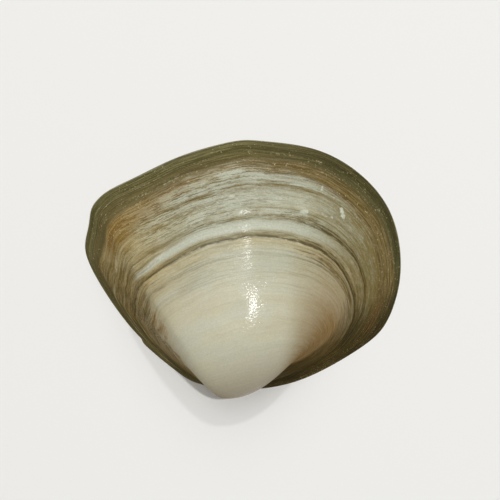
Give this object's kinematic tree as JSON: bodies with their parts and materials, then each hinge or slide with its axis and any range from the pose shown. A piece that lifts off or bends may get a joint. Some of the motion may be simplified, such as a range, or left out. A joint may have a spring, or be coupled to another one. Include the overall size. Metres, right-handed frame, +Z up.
{
  "type": "tellin shell valve",
  "caption": "Single left valve of a small tellin, an oval dome with a pointed beak, open below and resting on its thin rim and hinge plate.",
  "frame": {"origin": "middle of the bounding box in plan, in the plane of the rim that the valve rests on", "axes": "+X towards the rounded front end, along the greatest length; +Y towards the free lower edge, away from the beak and hinge; +Z up, out of the hollow, through the top of the dome"},
  "size_m": [0.0258, 0.0212, 0.0064],
  "materials": {
    "shell": "chalky and dull with a worn silky umbo, and thin olive-brown skin near the edge"
  },
  "bodies": {
    "root": {"valve": "shell"}
  },
  "joints": []
}
